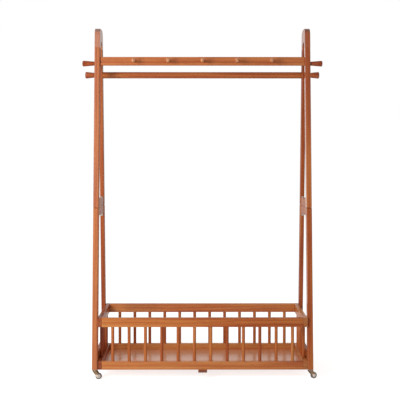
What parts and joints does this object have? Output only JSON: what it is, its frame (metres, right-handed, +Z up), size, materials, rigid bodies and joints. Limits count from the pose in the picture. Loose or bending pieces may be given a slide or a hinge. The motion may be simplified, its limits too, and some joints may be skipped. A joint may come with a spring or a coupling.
{
  "type": "open frame wardrobe",
  "caption": "Open frame wardrobe of stained wood: leaning side frames joined by a peg rail, a hanging rod and a spindle basket, rolling on swivel casters.",
  "frame": {"origin": "on the floor under the middle of the wardrobe", "axes": "+Z up, -Y towards the front where the coat pegs point, +X to the right seen from the front"},
  "size_m": [1.171, 0.4194, 1.68],
  "materials": {
    "frame_wood": "reddish stain under semi-gloss varnish",
    "turned_wood": "turned, reddish stain under semi-gloss varnish",
    "dowel": "plain dowel, reddish stain under semi-gloss varnish",
    "floor_board": "thin board, reddish stain under gloss varnish",
    "caster_metal": "bronzed steel",
    "wheel": "satin",
    "axle": "bright rivet",
    "fastener": "zinc plated"
  },
  "bodies": {
    "root": {"basket_floor": "floor_board", "basket_front_bottom_rail": "frame_wood", "basket_front_spindles": "dowel", "basket_front_top_rail": "frame_wood", "basket_left_bottom_rail": "frame_wood", "basket_left_spindles": "dowel", "basket_left_top_rail": "frame_wood", "basket_rear_bottom_rail": "frame_wood", "basket_rear_spindles": "dowel", "basket_rear_top_rail": "frame_wood", "basket_right_bottom_rail": "frame_wood", "basket_right_spindles": "dowel", "basket_right_top_rail": "frame_wood", "basket_screws": "fastener", "coat_peg_1": "turned_wood", "coat_peg_2": "turned_wood", "coat_peg_3": "turned_wood", "coat_peg_4": "turned_wood", "coat_peg_5": "turned_wood", "floor_batten": "frame_wood", "front_left_caster_stem": "caster_metal", "front_right_caster_stem": "caster_metal", "hanging_rod": "turned_wood", "left_front_lower_leg": "frame_wood", "left_front_upper_leg": "frame_wood", "left_lower_crossbars": "frame_wood", "left_rear_lower_leg": "frame_wood", "left_rear_upper_leg": "frame_wood", "left_rod_knob": "turned_wood", "left_side_peg": "turned_wood", "left_top_cap": "frame_wood", "left_upper_crossbar": "frame_wood", "peg_rail": "frame_wood", "rear_left_caster_stem": "caster_metal", "rear_right_caster_stem": "caster_metal", "right_front_lower_leg": "frame_wood", "right_front_upper_leg": "frame_wood", "right_lower_crossbars": "frame_wood", "right_rear_lower_leg": "frame_wood", "right_rear_upper_leg": "frame_wood", "right_rod_knob": "turned_wood", "right_side_peg": "turned_wood", "right_top_cap": "frame_wood", "right_upper_crossbar": "frame_wood", "seam_bolts": "fastener", "seam_nuts": "fastener"},
    "front_left_swivel": {"front_left_caster_fork": "caster_metal", "front_left_caster_axle": "axle"},
    "front_left_wheel": {"front_left_caster_wheel": "wheel"},
    "front_right_swivel": {"front_right_caster_fork": "caster_metal", "front_right_caster_axle": "axle"},
    "front_right_wheel": {"front_right_caster_wheel": "wheel"},
    "rear_left_swivel": {"rear_left_caster_fork": "caster_metal", "rear_left_caster_axle": "axle"},
    "rear_left_wheel": {"rear_left_caster_wheel": "wheel"},
    "rear_right_swivel": {"rear_right_caster_fork": "caster_metal", "rear_right_caster_axle": "axle"},
    "rear_right_wheel": {"rear_right_caster_wheel": "wheel"}
  },
  "joints": [
    {"name": "front_left_swivel_turn", "type": "hinge", "parent": "root", "child": "front_left_swivel", "pos_m": [-0.511, -0.19, 0.0385], "axis": [0, 0, 1], "continuous": true},
    {"name": "front_left_wheel_roll", "type": "hinge", "parent": "front_left_swivel", "child": "front_left_wheel", "pos_m": [-0.49265, -0.19492, 0.015], "axis": [0.2588, 0.9659, 0], "continuous": true},
    {"name": "front_right_swivel_turn", "type": "hinge", "parent": "root", "child": "front_right_swivel", "pos_m": [0.511, -0.19, 0.0385], "axis": [0, 0, 1], "continuous": true},
    {"name": "front_right_wheel_roll", "type": "hinge", "parent": "front_right_swivel", "child": "front_right_wheel", "pos_m": [0.52822, -0.18197, 0.015], "axis": [-0.4226, 0.9063, 0], "continuous": true},
    {"name": "rear_left_swivel_turn", "type": "hinge", "parent": "root", "child": "rear_left_swivel", "pos_m": [-0.508, 0.19, 0.0385], "axis": [0, 0, 1], "continuous": true},
    {"name": "rear_left_wheel_roll", "type": "hinge", "parent": "rear_left_swivel", "child": "rear_left_wheel", "pos_m": [-0.49015, 0.1965, 0.015], "axis": [-0.342, 0.9397, 0], "continuous": true},
    {"name": "rear_right_swivel_turn", "type": "hinge", "parent": "root", "child": "rear_right_swivel", "pos_m": [0.508, 0.19, 0.0385], "axis": [0, 0, 1], "continuous": true},
    {"name": "rear_right_wheel_roll", "type": "hinge", "parent": "rear_right_swivel", "child": "rear_right_wheel", "pos_m": [0.52671, 0.1867, 0.015], "axis": [0.1736, 0.9848, 0], "continuous": true}
  ]
}
